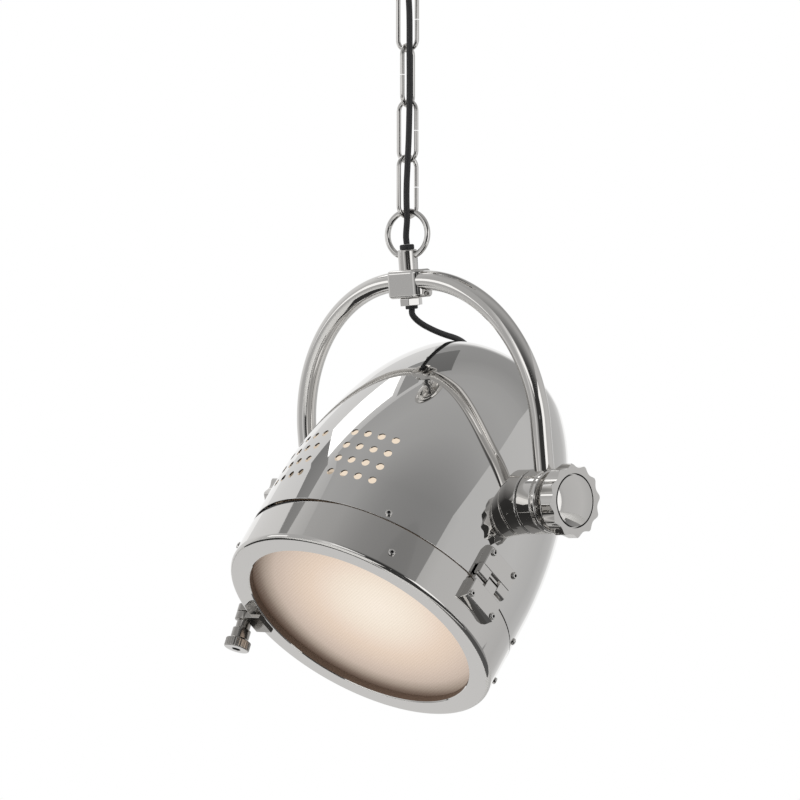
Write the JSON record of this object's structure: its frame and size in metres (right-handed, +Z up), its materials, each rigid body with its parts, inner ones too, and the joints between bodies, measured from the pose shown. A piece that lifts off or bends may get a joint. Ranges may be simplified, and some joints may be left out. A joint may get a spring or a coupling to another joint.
{
  "type": "pendant light",
  "caption": "Polished bullet spotlight tilting in a bent-tube yoke, hung by a chain and ring from a ceiling canopy, with a hinged bezel over textured glass.",
  "frame": {"origin": "middle of the canopy on the ceiling face", "axes": "+Z up along the chain, +X along the pivot axis towards the hinge side, -Y towards the side the lamp shines to"},
  "size_m": [0.4122, 0.3605, 0.7804],
  "materials": {
    "polished_aluminium": "mirror polished, nickel tone",
    "polished_nickel": "polished nickel plate",
    "plain_steel": "bright zinc",
    "black_rubber": "satin black",
    "black_plastic": "matt black",
    "white_ceramic": "glazed white",
    "frosted_glass": "patterned, lit from behind",
    "bulb_glass": "opal, lit"
  },
  "bodies": {
    "ceiling": {"canopy": "polished_nickel", "crossbar": "plain_steel", "hook": "polished_nickel", "hook_nut": "plain_steel", "canopy_gland": "black_plastic", "cable_1": "black_rubber"},
    "link_1": {"link_1": "polished_nickel", "cable_2": "black_rubber"},
    "link_2": {"link_2": "polished_nickel", "cable_3": "black_rubber"},
    "link_3": {"link_3": "polished_nickel", "cable_4": "black_rubber"},
    "link_4": {"link_4": "polished_nickel", "cable_5": "black_rubber"},
    "bail": {"bail": "polished_nickel", "cable_6": "black_rubber"},
    "yoke": {"stem": "polished_nickel", "stem_bush": "black_rubber", "collar": "polished_nickel", "collar_nut": "polished_nickel", "collar_bush": "black_rubber", "set_screws": "plain_steel", "yoke_arm_left": "polished_nickel", "yoke_arm_right": "polished_nickel", "yoke_boss_left": "polished_aluminium", "yoke_boss_right": "polished_aluminium", "cable_7": "black_rubber"},
    "shade": {"shade": "polished_aluminium", "saddle_bosses": "polished_aluminium", "friction_washers": "black_plastic", "pivot_studs": "plain_steel", "saddle_pads": "plain_steel", "stud_nuts": "plain_steel", "rim_hoop": "polished_aluminium", "rim_screws": "polished_nickel", "cable_outlet": "black_plastic", "holder_nipple": "plain_steel", "lampholder": "white_ceramic", "bulb_cap": "polished_aluminium", "bulb": "bulb_glass", "hinge_leaf_shade": "polished_nickel", "hinge_pin": "polished_nickel", "hinge_screws_shade": "polished_nickel", "latch_lug": "polished_nickel"},
    "knob_left": {"knob_left": "polished_aluminium", "knob_cap_left": "polished_nickel"},
    "knob_right": {"knob_right": "polished_aluminium", "knob_cap_right": "polished_nickel"},
    "bezel": {"bezel": "polished_nickel", "gasket": "black_rubber", "front_glass": "frosted_glass", "glass_clips": "plain_steel", "bezel_screws": "polished_nickel", "hinge_leaf_bezel": "polished_nickel", "hinge_screws_bezel": "polished_nickel", "latch_bracket": "plain_steel"},
    "thumbscrew": {"thumbscrew": "polished_nickel", "latch_clip": "plain_steel"}
  },
  "joints": [
    {"name": "link_1_swing", "type": "hinge", "parent": "ceiling", "child": "link_1", "pos_m": [0, 0, -0.062], "axis": [-0.1736, 0.9848, 0], "range_deg": [-30, 30], "deforming": ["cable_1"]},
    {"name": "link_2_swing", "type": "hinge", "parent": "link_1", "child": "link_2", "pos_m": [0, 0, -0.1175], "axis": [0.9659, 0.2588, 0], "range_deg": [-30, 30], "deforming": ["cable_2"]},
    {"name": "link_3_swing", "type": "hinge", "parent": "link_2", "child": "link_3", "pos_m": [0, 0, -0.1732], "axis": [-0.2588, 0.9659, 0], "range_deg": [-30, 30], "deforming": ["cable_3"]},
    {"name": "link_4_swing", "type": "hinge", "parent": "link_3", "child": "link_4", "pos_m": [0, 0, -0.2289], "axis": [0.9903, 0.1392, 0], "range_deg": [-30, 30], "deforming": ["cable_4"]},
    {"name": "bail_swing", "type": "hinge", "parent": "link_4", "child": "bail", "pos_m": [0, 0, -0.2846], "axis": [0.1736, 0.9848, 0], "range_deg": [-30, 30], "deforming": ["cable_5"]},
    {"name": "yoke_swing", "type": "hinge", "parent": "bail", "child": "yoke", "pos_m": [0, 0, -0.32223], "axis": [0.9703, 0.2419, 0], "range_deg": [-30, 30], "deforming": ["cable_6"]},
    {"name": "lamp_tilt", "type": "hinge", "parent": "yoke", "child": "shade", "pos_m": [0, 0.02788, -0.57076], "axis": [-1, 0, 0], "range_deg": [-40, 50], "deforming": ["cable_7"]},
    {"name": "knob_left_turn", "type": "hinge", "parent": "shade", "child": "knob_left", "pos_m": [0, 0.02788, -0.57076], "axis": [-1, 0, 0], "continuous": true},
    {"name": "knob_right_turn", "type": "hinge", "parent": "shade", "child": "knob_right", "pos_m": [0, 0.02788, -0.57076], "axis": [1, 0, 0], "continuous": true},
    {"name": "bezel_hinge", "type": "hinge", "parent": "shade", "child": "bezel", "pos_m": [0.1472, -0.03613, -0.6521], "axis": [0, -0.7859, 0.6184], "range_deg": [0, 100]},
    {"name": "thumbscrew_turn", "type": "hinge", "parent": "bezel", "child": "thumbscrew", "pos_m": [-0.16028, -0.06623, -0.67676], "axis": [0.0144, 0.3781, 0.9256], "continuous": true}
  ]
}
